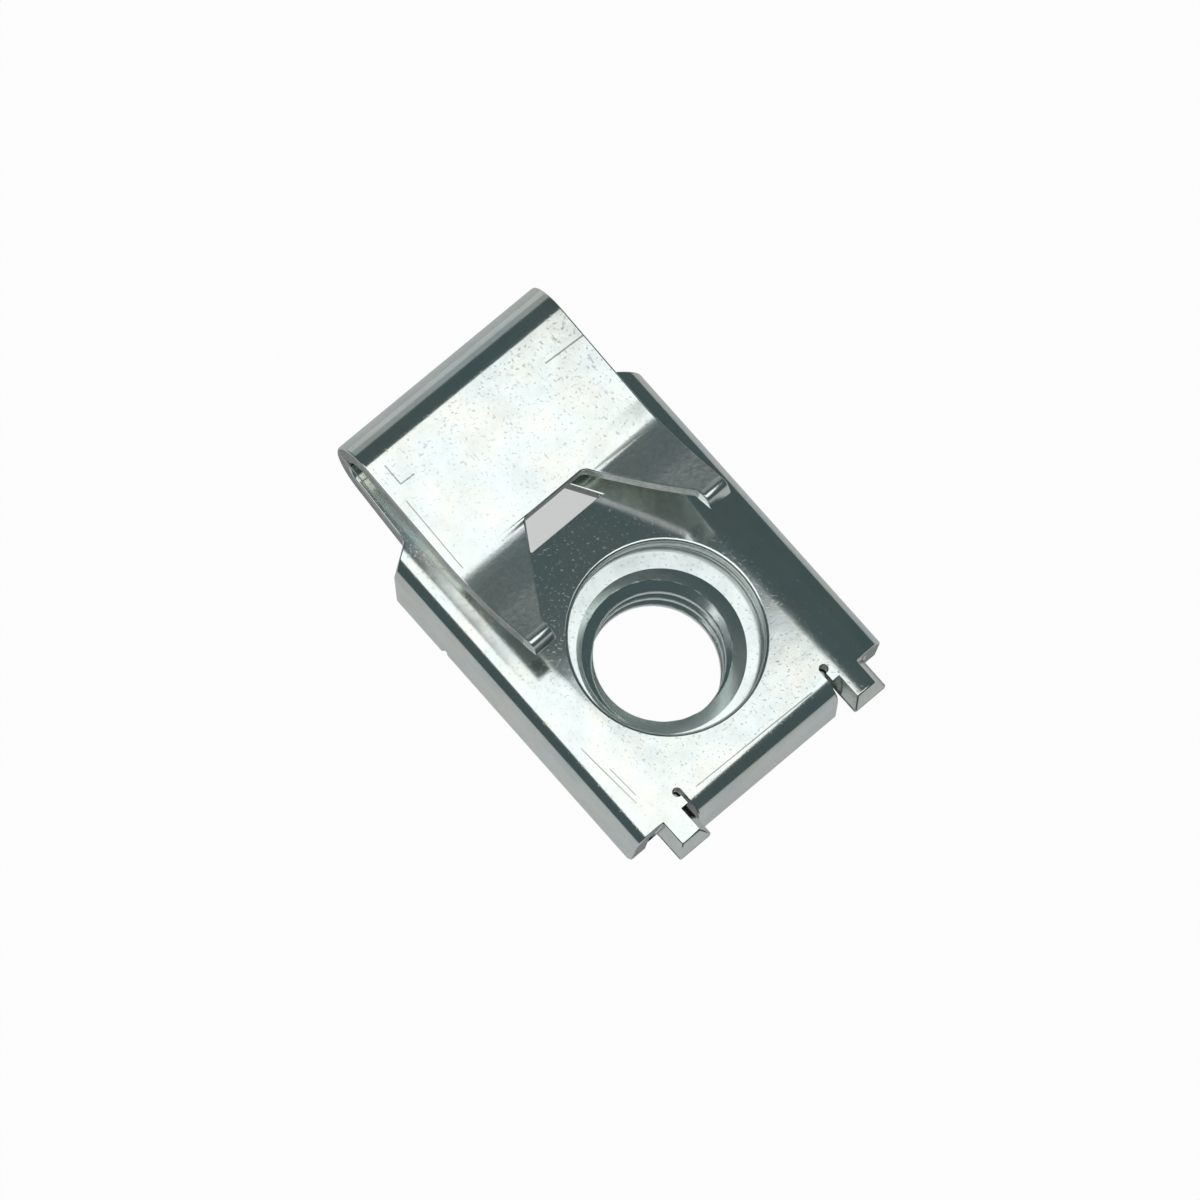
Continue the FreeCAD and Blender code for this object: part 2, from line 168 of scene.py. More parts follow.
def soften_edges(piece, width, wanted):
    """Rounds the piece's sharp edges that pass the test."""
    mesh = bmesh.new()
    mesh.from_mesh(piece.data)
    sharp = [edge for edge in mesh.edges
             if edge.is_manifold and edge.calc_face_angle() > SHARP_ANGLE and wanted(edge)]
    strips = bmesh.ops.bevel(
        mesh, geom=sharp, offset=width, offset_type="WIDTH", segments=EDGE_SEGMENTS,
        profile=ROUND_PROFILE, affect="EDGES", clamp_overlap=False)
    cut = mesh.faces.layers.float["cut_face"]
    for face in strips["faces"]:
        face[cut] = 0.0
    bmesh.ops.remove_doubles(mesh, verts=mesh.verts, dist=MERGE_DISTANCE)
    mesh.to_mesh(piece.data)
    mesh.free()
    print(piece.name, "has", len(sharp), "soft edges and", len(piece.data.polygons), "faces")


# %% [markdown]
# The plate's round hole has a wider roll than the rest, and the upper edge of each prong's end has
# the widest, which shines as a bright band. The edges round the two relief holes stay sharp,
# because a strip there would cross itself. Each kind of edge is found by where it lies.

# %% Soften the clip's edges
HOLE_RADIUS = 4.9 * MM
HOLE_SLACK = 0.03 * MM
TIP_SLACK = 0.05 * MM
PRONGS_FROM = -6.0 * MM
RELIEF_SPOT = Vector((6.22, 4.85)) * MM
RELIEF_REACH = 0.95 * MM
RIM_WIDTH = 0.26 * MM
TIP_WIDTH = 0.5 * MM
EDGE_WIDTH = 0.12 * MM


def is_rim(edge):
    """Whether the edge is part of the plate hole's two rims."""
    return all(abs(math.hypot(*corner.co.xy) - HOLE_RADIUS) < HOLE_SLACK for corner in edge.verts)


def is_tip(edge):
    """Whether the edge is the upper one of a prong's end, the clip's highest line."""
    return all(corner.co.z > clip_high.z - TIP_SLACK and corner.co.x > PRONGS_FROM
               for corner in edge.verts)


def is_clear(edge):
    """Whether the edge keeps away from the relief holes at the front bend's two ends."""
    return all((Vector((corner.co.x, abs(corner.co.y))) - RELIEF_SPOT).length > RELIEF_REACH
               for corner in edge.verts)


soften_edges(clip, RIM_WIDTH, is_rim)
soften_edges(clip, TIP_WIDTH, is_tip)
soften_edges(clip, EDGE_WIDTH, is_clear)

# %% [markdown]
# **The thread.** A thread is one groove that climbs a helix, so its wall is a rule: at each angle
# and height, the radius is the bore's, plus the groove's depth at that place in the pitch.
# Geometry Nodes apply such a rule to a flat grid: the grid's one side becomes the angle, its other
# side the height, and Set Position rolls it into a tube. The tube is closed at both ends, so that
# it is the solid shape of the empty thread, which is then cut out of the nut.

# %% The thread's sizes
THREAD_PITCH = 1.25 * MM
THREAD_MINOR = 3.335 * MM
THREAD_MAJOR = 4.0 * MM
MOUTH_RADIUS = 4.24 * MM
PAST_THE_NUT = 0.5 * MM
STEPS_ROUND = 145
STEPS_UP = 170
# how far from the groove's middle its flanks begin and end, in pitches
CREST_FROM, FLOOR_TO = 0.375, 0.0625
# the grid reaches half a unit to each side, and only its first and its last row lie past this
LAST_ROW = 0.4999
print("the thread has about", round((nut_high.z - nut_low.z) / THREAD_PITCH, 1), "turns")

# %% [markdown]
# The tree itself has named inputs for the sizes and for the material. Its grid turns into the
# empty thread in four steps: the place on the grid gives an angle and a height, these give the
# radius, the three together give the position, and the two ends are drawn in to the axis.

# %% The thread's rule as a node tree
def thread_tree():
    """A tree that makes the empty thread's shape, closed, between two heights."""
    tree = bpy.data.node_groups.new("empty_thread", "GeometryNodeTree")
    for name in ("Bottom", "Top", "Pitch", "Minor Radius", "Major Radius", "Mouth Radius"):
        tree.interface.new_socket(name, in_out="INPUT", socket_type="NodeSocketFloat")
    tree.interface.new_socket("Material", in_out="INPUT", socket_type="NodeSocketMaterial")
    tree.interface.new_socket("Geometry", in_out="OUTPUT", socket_type="NodeSocketGeometry")
    sizes = add(tree, "NodeGroupInput").outputs
    grid = add(tree, "GeometryNodeMeshGrid", {
        "Size X": 1.0, "Size Y": 1.0, "Vertices X": STEPS_ROUND, "Vertices Y": STEPS_UP})
    spot = add(tree, "ShaderNodeSeparateXYZ", {
        0: add(tree, "GeometryNodeInputPosition").outputs[0]})
    turn = calc(tree, "MULTIPLY", calc(tree, "ADD", spot.outputs["X"], 0.5), math.tau)
    rise = calc(tree, "ADD", spot.outputs["Y"], 0.5)
    low = calc(tree, "SUBTRACT", sizes["Bottom"], PAST_THE_NUT)
    high = calc(tree, "ADD", sizes["Top"], PAST_THE_NUT)
    height = calc(tree, "MULTIPLY_ADD", rise, calc(tree, "SUBTRACT", high, low), low)
    # how far this point is from the groove's middle: 0 there, and half a pitch at the crest's
    phase = calc(tree, "SUBTRACT", calc(tree, "DIVIDE", height, sizes["Pitch"]),
                 calc(tree, "DIVIDE", turn, math.tau))
    from_groove = calc(tree, "PINGPONG", phase, 0.5)
    depth = add(tree, "ShaderNodeMapRange", {
        "Value": from_groove, "From Min": CREST_FROM, "From Max": FLOOR_TO,
        "To Min": 0.0, "To Max": 1.0})
    grown = calc(tree, "SUBTRACT", sizes["Major Radius"], sizes["Minor Radius"])
    wall = calc(tree, "MULTIPLY_ADD", depth.outputs[0], grown, sizes["Minor Radius"])
    # the mouths are cones at 45 degrees
    above = calc(tree, "SUBTRACT", height, sizes["Top"])
    below = calc(tree, "SUBTRACT", sizes["Bottom"], height)
    upper = calc(tree, "ADD", sizes["Mouth Radius"], above)
    lower = calc(tree, "ADD", sizes["Mouth Radius"], below)
    radius = calc(tree, "MAXIMUM", wall, calc(tree, "MAXIMUM", upper, lower))
    # the first and the last row close onto the axis
    inside = calc(tree, "LESS_THAN", calc(tree, "ABSOLUTE", spot.outputs["Y"]), LAST_ROW)
    reach = calc(tree, "MULTIPLY", radius, inside)
    place = add(tree, "ShaderNodeCombineXYZ", {
        "X": calc(tree, "MULTIPLY", reach, calc(tree, "COSINE", turn)),
        "Y": calc(tree, "MULTIPLY", reach, calc(tree, "SINE", turn)),
        "Z": height})
    tube = add(tree, "GeometryNodeSetPosition", {
        "Geometry": grid.outputs["Mesh"], "Position": place.outputs[0]})
    closed = add(tree, "GeometryNodeMergeByDistance", {
        "Geometry": tube.outputs[0], "Distance": MERGE_DISTANCE})
    real = add(tree, "GeometryNodeRealizeInstances", {"Geometry": closed.outputs[0]})
    finished = add(tree, "GeometryNodeSetMaterial", {
        "Geometry": real.outputs[0], "Material": sizes["Material"]})
    add(tree, "NodeGroupOutput", {"Geometry": finished.outputs[0]})
    return tree


empty_thread_tree = thread_tree()
print("the thread's tree has", len(empty_thread_tree.nodes), "nodes")

# %% [markdown]
# A tree does nothing until a modifier runs it. This helper puts it on an empty object, sets its
# inputs by their identifiers, and keeps the result as a plain mesh without the modifier.

# %% A helper that runs a tree
def run_tree(tree, name, values):
    """A plain mesh object made by the tree, with its named inputs set."""
    holder = bpy.data.objects.new(name, bpy.data.meshes.new(name))
    bpy.context.scene.collection.objects.link(holder)
    modifier = holder.modifiers.new(name, "NODES")
    modifier.node_group = tree
    for item in tree.interface.items_tree:
        if item.in_out == "INPUT" and item.name in values:
            modifier[item.identifier] = values[item.name]
    made = bpy.data.meshes.new_from_object(
        holder.evaluated_get(bpy.context.evaluated_depsgraph_get()))
    holder.modifiers.clear()
    holder.data = made
    print(name, "has", len(made.polygons), "faces")
    return holder


print("tree runner ready")

# %% [markdown]
# **Zinc.** The sheet is bright zinc: a near-white metal with a cold tint, with slow waves, pits,
# dull blotches and small scratches from the barrel it was plated in. Both pieces share one shader
# group that works these out in millimetres from Object coordinates, and each material sets how
# strong they are. First come three helpers: an empty group, a noise, and a ramp.

# %% Helpers for shaders
def new_group(name, inputs, outputs):
    """An empty shader group with those sockets, each a name and a kind."""
    tree = bpy.data.node_groups.new(name, "ShaderNodeTree")
    for socket_name, kind in inputs:
        tree.interface.new_socket(socket_name, in_out="INPUT", socket_type="NodeSocket" + kind)
    for socket_name, kind in outputs:
        tree.interface.new_socket(socket_name, in_out="OUTPUT", socket_type="NodeSocket" + kind)
    return tree


def noise(tree, where, scale, detail=2.0, roughness=0.5):
    """The value of one Noise Texture."""
    return add(tree, "ShaderNodeTexNoise", {
        "Vector": where, "Scale": scale, "Detail": detail, "Roughness": roughness}).outputs[0]


def ramp(tree, value, low, high, smooth=False):
    """How far a value has got from one bound to the other, from 0 to 1."""
    kind = "SMOOTHSTEP" if smooth else "LINEAR"
    return add(tree, "ShaderNodeMapRange", {"Value": value, "From Min": low, "From Max": high},
               interpolation_type=kind).outputs[0]


print("shader helpers ready")

# %% [markdown]
# Each mark is a noise of its own size, sent through a ramp that picks out its high places. The
# scratches are the thin ridges of a noise that is stretched along one way, kept only where a
# slower noise is high. The group gives three things: how stained a place is, how rough, and how
# high it stands in millimetres.

# %% The worn zinc as a shader group
# each noise has a scale per millimetre, a detail and a roughness
BLOTCH_NOISE, BLOTCH_RANGE = (0.55, 5.0, 0.62), (0.42, 0.75)
SPECK_NOISE, SPECK_RANGE = (5.5, 3.0, 0.6), (0.6, 0.7)
GRIT_NOISE, GRIT_RANGE = (3.2, 4.0, 0.7), (0.2, 0.75)
SCRATCH_NOISE, SCRATCH_RANGE = (0.9, 3.0, 0.55), (0.005, 0.0)
SCRATCH_TURN = math.radians(28)
SCRATCH_STRETCH = (0.5, 4.0, 1.0)
SCRATCHED_SCALE, SCRATCHED_RANGE = 0.8, (0.55, 0.62)
SCRATCH_SHARE = 0.4
WAVE_SCALE = 0.32
GRIT_DEPTH = 0.024
SPECK_DEPTH = 0.0015
STAIN_ROUGHENS = 0.12


def zinc_group():
    """A group with a stain mask, a roughness and a height that change over the surface."""
    tree = new_group(
        "worn_zinc",
        [("Vector", "Vector"), ("Roughness", "Float"), ("Blotches", "Float"), ("Pits", "Float"),
         ("Waves", "Float"), ("Grit", "Float")],
        [("Stain", "Float"), ("Roughness", "Float"), ("Height", "Float")])
    given = add(tree, "NodeGroupInput").outputs
    where = given["Vector"]
    blotch = ramp(tree, noise(tree, where, *BLOTCH_NOISE), *BLOTCH_RANGE)
    speck = ramp(tree, noise(tree, where, *SPECK_NOISE), *SPECK_RANGE)
    grit = ramp(tree, noise(tree, where, *GRIT_NOISE), *GRIT_RANGE)
    streaked = add(tree, "ShaderNodeMapping", {
        "Vector": where, "Rotation": (0.0, 0.0, SCRATCH_TURN), "Scale": SCRATCH_STRETCH})
    ridge = calc(tree, "ABSOLUTE", calc(
        tree, "SUBTRACT", noise(tree, streaked.outputs[0], *SCRATCH_NOISE), 0.5))
    scratch = calc(tree, "MULTIPLY", ramp(tree, ridge, *SCRATCH_RANGE),
                   ramp(tree, noise(tree, where, SCRATCHED_SCALE), *SCRATCHED_RANGE))
    marks = calc(tree, "MULTIPLY_ADD", scratch, SCRATCH_SHARE, speck)
    pits = calc(tree, "MULTIPLY", marks, given["Pits"])
    gritty = calc(tree, "MULTIPLY", grit, given["Grit"])
    stain = calc(tree, "ADD", calc(tree, "MULTIPLY", blotch, given["Blotches"]),
                 calc(tree, "ADD", pits, gritty), clamp=True)
    rough = calc(tree, "MULTIPLY_ADD", stain, STAIN_ROUGHENS, given["Roughness"])
    waves = calc(tree, "MULTIPLY", noise(tree, where, WAVE_SCALE), given["Waves"])
    hollows = calc(tree, "MULTIPLY_ADD", gritty, GRIT_DEPTH,
                   calc(tree, "MULTIPLY", speck, SPECK_DEPTH))
    height = calc(tree, "SUBTRACT", waves, hollows)
    add(tree, "NodeGroupOutput", {"Stain": stain, "Roughness": rough, "Height": height})
    return tree


worn_zinc = zinc_group()
print("worn zinc:", len(worn_zinc.nodes), "nodes")

# %% [markdown]
# ** Hairlines.** Fine dark lines, each with a slight groove, cross the sheet: on the arm at either
# side, and beside the plate's bends. Each is a straight stretch between two points, so one group
# measures how far a place is from such a stretch, and says whether it lies on the line.

# %% A hairline as a shader group
SEEN_FROM_ABOVE = (1.0, 1.0, 0.0)
# a line fades from none to full between these shares of its width
LINE_FADE = (1.0, 0.4)


def hairline_group():
    """A group that is 1 on a straight line between two points, seen from above."""
    tree = new_group("hairline", [("Vector", "Vector"), ("Start", "Vector"), ("End", "Vector"),
                                  ("Width", "Float")], [("Line", "Float")])
    given = add(tree, "NodeGroupInput").outputs
    flat = add(tree, "ShaderNodeVectorMath", {
        0: given["Vector"], 1: SEEN_FROM_ABOVE}, operation="MULTIPLY").outputs[0]
    away = add(tree, "ShaderNodeVectorMath", {
        0: flat, 1: given["Start"]}, operation="SUBTRACT").outputs[0]
    whole = add(tree, "ShaderNodeVectorMath", {
        0: given["End"], 1: given["Start"]}, operation="SUBTRACT").outputs[0]
    along = add(tree, "ShaderNodeVectorMath", {0: away, 1: whole}, operation="DOT_PRODUCT")
    length = add(tree, "ShaderNodeVectorMath", {0: whole, 1: whole}, operation="DOT_PRODUCT")
    part = calc(tree, "DIVIDE", along.outputs["Value"], length.outputs["Value"], clamp=True)
    nearest = add(tree, "ShaderNodeVectorMath", {0: whole, "Scale": part}, operation="SCALE")
    gap = add(tree, "ShaderNodeVectorMath", {0: away, 1: nearest.outputs[0]}, operation="DISTANCE")
    line = ramp(tree, calc(tree, "DIVIDE", gap.outputs["Value"], given["Width"]), *LINE_FADE)
    add(tree, "NodeGroupOutput", {"Line": line})
    return tree


hairline = hairline_group()
print("a hairline takes", len(hairline.nodes), "nodes")

# %% [markdown]
# The lines themselves are few and follow no rule, so they are a short list, and a helper joins
# their masks. Those on the arm are kept apart from those on the plate below it, because a line
# seen from above would mark both.

# %% The hairlines
# the start and the end of each line, and its width, in millimetres
ARM_LINES = (
    ((-15.1, -5.56, 0.0), (-13.94, -5.56, 0.0), 0.04),
    ((-13.94, -5.56, 0.0), (-13.89, -4.74, 0.0), 0.04),
    ((-13.97, 4.0, 0.0), (-13.85, 6.43, 0.0), 0.04),
    ((-13.1, -5.9, 0.0), (-8.8, -5.95, 0.0), 0.03),
)
PLATE_LINES = (
    ((1.5, -7.0, 0.0), (5.3, -6.75, 0.0), 0.04),
    ((3.2, -6.6, 0.0), (5.0, -6.5, 0.0), 0.03),
    ((6.6, -3.9, 0.0), (6.75, 3.6, 0.0), 0.03),
)


def lines_mask(tree, where, lines):
    """The mask of several hairlines together."""
    mask = None
    for start, end, width in lines:
        line = add(tree, "ShaderNodeGroup", node_tree=hairline)
        tree.links.new(where, line.inputs["Vector"])
        line.inputs["Start"].default_value = start
        line.inputs["End"].default_value = end
        line.inputs["Width"].default_value = width
        mask = line.outputs[0] if mask is None else calc(tree, "MAXIMUM", mask, line.outputs[0])
    return mask


print("hairlines:", len(ARM_LINES) + len(PLATE_LINES))

# %% [markdown]
# **Building a metal.** Both materials are put together in the same way: coordinates in
# millimetres, the worn zinc's group, colours mixed by masks, and one Principled shader whose Bump
# node takes the height. The helpers below are those steps.

# %% Helpers for the materials
# the Mix node's sockets for colours go by number, because several share a name
MIX_FACTOR, MIX_PLAIN, MIX_CHANGED, MIX_RESULT = 0, 6, 7, 2


def new_material(name):
    """An empty material and its tree."""
    material = bpy.data.materials.new(name)
    material.use_nodes = True
    material.node_tree.nodes.clear()
    return material, material.node_tree


def in_millimetres(tree):
    """Object coordinates in millimetres, whole and apart."""
    where = add(tree, "ShaderNodeMapping", {
        "Vector": add(tree, "ShaderNodeTexCoord").outputs["Object"],
        "Scale": (1 / MM, 1 / MM, 1 / MM)}).outputs[0]
    return where, add(tree, "ShaderNodeSeparateXYZ", {0: where}).outputs


def wear_node(tree, where, values):
    """The worn zinc's group, placed with its own values."""
    return add(tree, "ShaderNodeGroup", {"Vector": where, **values}, node_tree=worn_zinc).outputs


def mix_colour(tree, amount, plain, changed):
    """One colour turning into another."""
    ends = {MIX_FACTOR: amount}
    for key, colour in ((MIX_PLAIN, plain), (MIX_CHANGED, changed)):
        ends[key] = colour if isinstance(colour, bpy.types.NodeSocket) else (*colour, 1.0)
    return add(tree, "ShaderNodeMix", ends, data_type="RGBA").outputs[MIX_RESULT]


def metal(tree, colour, roughness, height):
    """The shader itself, with its height in millimetres."""
    bump = add(tree, "ShaderNodeBump", {"Height": height, "Strength": 1.0, "Distance": MM})
    surface = add(tree, "ShaderNodeBsdfPrincipled", {
        "Base Color": colour, "Metallic": 1.0, "Roughness": roughness, "Normal": bump.outputs[0]})
    add(tree, "ShaderNodeOutputMaterial", {"Surface": surface.outputs[0]})


print("material helpers ready")

# %% [markdown]
# **The clip's zinc.** This material adds what only the clip has. Its sheared faces are dull, with
# streaks across the sheet. Its two prongs are gritty and dull where the press pushed them up, but
# clean and bright at their ends. The real sheet isn't quite as flat as the solids keep it, and a
# mirror shows that, so a height tilts the light: the plate falls away a little towards its side
# bends and behind its hole, and the arm leans back and bows down before its front turn.

# %% The clip's material
SHEET_WEAR = {"Roughness": 0.11, "Blotches": 0.26, "Pits": 0.3, "Waves": 0.012}
PRONG_GRIT, SHEET_GRIT = 0.8, 0.02
COLD_ZINC, WARM_ZINC = (0.80, 0.86, 0.85), (0.85, 0.865, 0.81)
STAINED_ZINC = (0.46, 0.50, 0.485)
TINT_SCALE, TINT_RANGE = 0.4, (0.4, 0.62)
LINE_COLOUR = (0.16, 0.17, 0.16)
LINE_STRENGTH = 0.45
SHEARED_DARK, SHEARED_PALE = (0.22, 0.22, 0.215), (0.46, 0.47, 0.46)
STREAK_NOISE, STREAK_RANGE = (3.5, 4.0, 0.7), (0.35, 0.7)
DULL_ROUGHENS = 0.2
TIP_SHINE = 0.5
# where things begin and end along X, Y or Z, and how deep they are, in millimetres
ABOVE_PLATE = (0.6, 1.2)
PRONG_REGION = (-8.4, -7.0)
DULL_REGION = (-8.7, -7.7)
TIP_REGION = (-3.95, -3.8)
ROLL_FROM, ROLL_TO, ROLL_DROP = 5.2, 7.6, 0.2
DIP_FROM, DIP_TO, DIP_DEPTH = -8.5, -1.0, 0.1
TURN_FROM, TURN_TO, TURN_DROP = -9.9, -7.4, 0.3
LINE_DEPTH = 0.004
# the arm falls by this much for each millimetre along X
ARM_LEAN = 0.055


def sheet_height(tree, place, on_arm):
    """How far the real sheet stands above or below the flat one."""
    on_plate = calc(tree, "SUBTRACT", 1.0, on_arm)
    roll = ramp(tree, calc(tree, "ABSOLUTE", place["Y"]), ROLL_FROM, ROLL_TO, smooth=True)
    dip = ramp(tree, place["X"], DIP_TO, DIP_FROM, smooth=True)
    sunk = calc(tree, "MULTIPLY", on_plate, calc(
        tree, "MULTIPLY_ADD", roll, ROLL_DROP, calc(tree, "MULTIPLY", dip, DIP_DEPTH)))
    turn = ramp(tree, place["X"], TURN_FROM, TURN_TO, smooth=True)
    lean = calc(tree, "MULTIPLY", on_arm, calc(
        tree, "MULTIPLY_ADD", turn, -TURN_DROP, calc(tree, "MULTIPLY", place["X"], -ARM_LEAN)))
    return calc(tree, "SUBTRACT", lean, sunk)


def sheet_material():
    """The clip's zinc: bright skins, gritty prongs and dull sheared faces."""
    material, tree = new_material("bright_zinc_sheet")
    where, place = in_millimetres(tree)
    # where the arm, its prongs and their ends are
    on_arm = ramp(tree, place["Z"], *ABOVE_PLATE)
    on_prongs = calc(tree, "MULTIPLY", on_arm, ramp(tree, place["X"], *PRONG_REGION, smooth=True))
    past_turn = calc(tree, "MULTIPLY", on_arm, ramp(tree, place["X"], *DULL_REGION))
    at_tips = calc(tree, "MULTIPLY", on_arm, ramp(tree, place["X"], *TIP_REGION))
    off_tips = calc(tree, "SUBTRACT", 1.0, at_tips)
    # the skin's colour
    gritty = calc(tree, "MULTIPLY", on_prongs, off_tips)
    wear = wear_node(tree, where, {
        **SHEET_WEAR, "Grit": calc(tree, "MULTIPLY_ADD", gritty, PRONG_GRIT, SHEET_GRIT)})
    tint = ramp(tree, noise(tree, where, TINT_SCALE), *TINT_RANGE)
    clean = mix_colour(tree, tint, COLD_ZINC, WARM_ZINC)
    skin = mix_colour(tree, wear["Stain"], clean, STAINED_ZINC)
    # the hairlines
    arm_lines = calc(tree, "MULTIPLY", lines_mask(tree, where, ARM_LINES), on_arm)
    plate_lines = calc(tree, "MULTIPLY", lines_mask(tree, where, PLATE_LINES),
                       calc(tree, "SUBTRACT", 1.0, on_arm))
    lines = calc(tree, "MAXIMUM", arm_lines, plate_lines)
    lined = mix_colour(tree, calc(tree, "MULTIPLY", lines, LINE_STRENGTH), skin, LINE_COLOUR)
    # the sheared faces, apart from the prongs' ends
    marked = add(tree, "ShaderNodeAttribute", attribute_name="cut_face").outputs["Fac"]
    cut = calc(tree, "MULTIPLY", off_tips, marked)
    streaks = ramp(tree, noise(tree, where, *STREAK_NOISE), *STREAK_RANGE)
    sheared = mix_colour(tree, streaks, SHEARED_DARK, SHEARED_PALE)
    colour = mix_colour(tree, cut, lined, sheared)
    dull = calc(tree, "MAXIMUM", cut, calc(tree, "MULTIPLY_ADD", at_tips, -TIP_SHINE, past_turn))
    rough = calc(tree, "MULTIPLY_ADD", dull, DULL_ROUGHENS, wear["Roughness"])
    marks = calc(tree, "ADD", calc(tree, "MULTIPLY", lines, -LINE_DEPTH), wear["Height"])
    height = calc(tree, "ADD", sheet_height(tree, place, on_arm), marks)
    metal(tree, colour, rough, height)
    return material


sheet_zinc = sheet_material()
print(sheet_zinc.name, "has", len(sheet_zinc.node_tree.nodes), "nodes")

# %% [markdown]
# **The nut's zinc.** The nut is paler and plainer than the clip, so it takes the same group with
# weaker values. It lies in its cage with a slight lean, which the solids leave out, so that its
# ring mirrors the light where the plate beside it doesn't. A height does this as well.

# %% The nut's material
NUT_WEAR = {"Roughness": 0.16, "Blotches": 0.25, "Pits": 0.2, "Waves": 0.008, "Grit": 0.02}
PALE_ZINC, STAINED_PALE_ZINC = (0.82, 0.88, 0.86), (0.50, 0.57, 0.56)
# the nut falls by this much for each millimetre along X
NUT_LEAN = 0.055


def nut_material():
    """The nut's zinc, which is paler and plainer than the sheet's."""
    material, tree = new_material("bright_zinc_nut")
    where, place = in_millimetres(tree)
    wear = wear_node(tree, where, NUT_WEAR)
    colour = mix_colour(tree, wear["Stain"], PALE_ZINC, STAINED_PALE_ZINC)
    height = calc(tree, "MULTIPLY_ADD", place["X"], -NUT_LEAN, wear["Height"])
    metal(tree, colour, wear["Roughness"], height)
    return material


nut_zinc = nut_material()
print(nut_zinc.name, "has", len(nut_zinc.node_tree.nodes), "nodes")

# %% [markdown]
# **Cutting the thread.** The nut's solid has a plain bore, a hair narrower than the thread at its
# crests. A Boolean modifier takes the empty thread's shape out of it, with the exact solver,
# because the two surfaces nearly touch there. The rule turns about the Z axis, so the nut is moved
# onto that axis and back again in its mesh, and its object never leaves the origin.

# %% Cut the thread out of the nut
nut = clean_copy("floating_nut", "threaded_nut")
nut.data.transform(Matrix.Translation((-nut_axis.x, -nut_axis.y, 0)))
empty_thread = run_tree(empty_thread_tree, "empty_thread", {
    "Bottom": nut_low.z, "Top": nut_high.z, "Pitch": THREAD_PITCH, "Minor Radius": THREAD_MINOR,
    "Major Radius": THREAD_MAJOR, "Mouth Radius": MOUTH_RADIUS, "Material": nut_zinc})
cut = nut.modifiers.new("thread", "BOOLEAN")
cut.operation = "DIFFERENCE"
cut.solver = "EXACT"
cut.object = empty_thread
threaded = bpy.data.meshes.new_from_object(
    nut.evaluated_get(bpy.context.evaluated_depsgraph_get()))
nut.modifiers.clear()
nut.data = threaded
nut.data.transform(Matrix.Translation((nut_axis.x, nut_axis.y, 0)))
bpy.data.objects.remove(empty_thread)
print("threaded nut:", len(nut.data.polygons), "faces")

# %% [markdown]
# **Shading.** Rounded strips want smooth shading, but a corner's averaged normal would also bend
# the light on the wide flat face beside it, and bright metal shows that at once. A Weighted Normal
# modifier lets the largest face at each corner decide, so the flats stay flat and only the strips
# turn. Edges that are still sharper than a crease stay sharp. Each piece then takes the place of
# its solid in the frame.

# %% Dress the pieces
CREASE_ANGLE = math.radians(28)
LARGEST_FACE_DECIDES = 100


def dress(piece, material, node_name):
    """Gives the piece its material, smooth shading and its place in the frame."""
    piece.data.materials.clear()
    piece.data.materials.append(material)
    for face in piece.data.polygons:
        face.use_smooth = True
        face.material_index = 0
    piece.data.set_sharp_from_angle(angle=CREASE_ANGLE)
    weighing = piece.modifiers.new("flats_stay_flat", "WEIGHTED_NORMAL")
    weighing.mode = "FACE_AREA"
    weighing.weight = LARGEST_FACE_DECIDES
    weighing.keep_sharp = True
    sources = bpy.context.evaluated_depsgraph_get()
    shaded = bpy.data.meshes.new_from_object(
        piece.evaluated_get(sources), preserve_all_data_layers=True, depsgraph=sources)
    piece.modifiers.clear()
    piece.data = shaded
    print(piece.name, "has", len(shaded.polygons), "faces")
    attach(piece, "root")
    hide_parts(node_name)


dress(clip, sheet_zinc, "spring_clip")
dress(nut, nut_zinc, "floating_nut")

# %% [markdown]
# **The studio.** Bright metal shows what stands around it. The photograph has one broad soft light
# overhead, dim surroundings and a white ground. A plain lit floor can't be white to the camera and
# dim in the metal at once, so a Light Path node tells the rays apart: the camera's see an even
# glow, mirrored ones a dimmer glow, and the others a matt white that takes shadows. Under the
# cage's rear, where the window looks down, the camera's glow is darkened, as shade would.

# %% The floor
CAMERA_GLOW = 0.97
MIRROR_GLOW = 0.25
SHADE_SPOT = Vector((-9.9, 2.0, 0.0)) * MM
SHADE_INNER, SHADE_OUTER = 2.6 * MM, 4.6 * MM
SHADE_DEPTH = 0.46
MATT_WHITE, PURE_WHITE = (0.92, 0.92, 0.92, 1.0), (1.0, 1.0, 1.0, 1.0)
FLOOR_SIZE = 4.0
A_HAIR = 0.01 * MM


def white_ground():
    """A white floor that stays white to the camera, dimmer in reflections, and keeps shadows."""
    material, tree = new_material("white_ground")
    away = add(tree, "ShaderNodeVectorMath", {
        0: add(tree, "ShaderNodeTexCoord").outputs["Object"], 1: SHADE_SPOT}, operation="DISTANCE")
    shade = ramp(tree, away.outputs["Value"], SHADE_OUTER, SHADE_INNER, smooth=True)
    seen = calc(tree, "MULTIPLY_ADD", shade, -SHADE_DEPTH, CAMERA_GLOW)
    path = add(tree, "ShaderNodeLightPath").outputs
    mirrored = calc(tree, "ADD", path["Is Glossy Ray"], path["Is Transmission Ray"], clamp=True)
    glow = calc(tree, "MULTIPLY_ADD", path["Is Camera Ray"], seen,
                calc(tree, "MULTIPLY", mirrored, MIRROR_GLOW))
    matt = add(tree, "ShaderNodeBsdfDiffuse", {"Color": MATT_WHITE})
    shine = add(tree, "ShaderNodeEmission", {"Color": PURE_WHITE, "Strength": 1.0})
    mixed = add(tree, "ShaderNodeMixShader", {0: glow, 1: matt.outputs[0], 2: shine.outputs[0]})
    add(tree, "ShaderNodeOutputMaterial", {"Surface": mixed.outputs[0]})
    return material


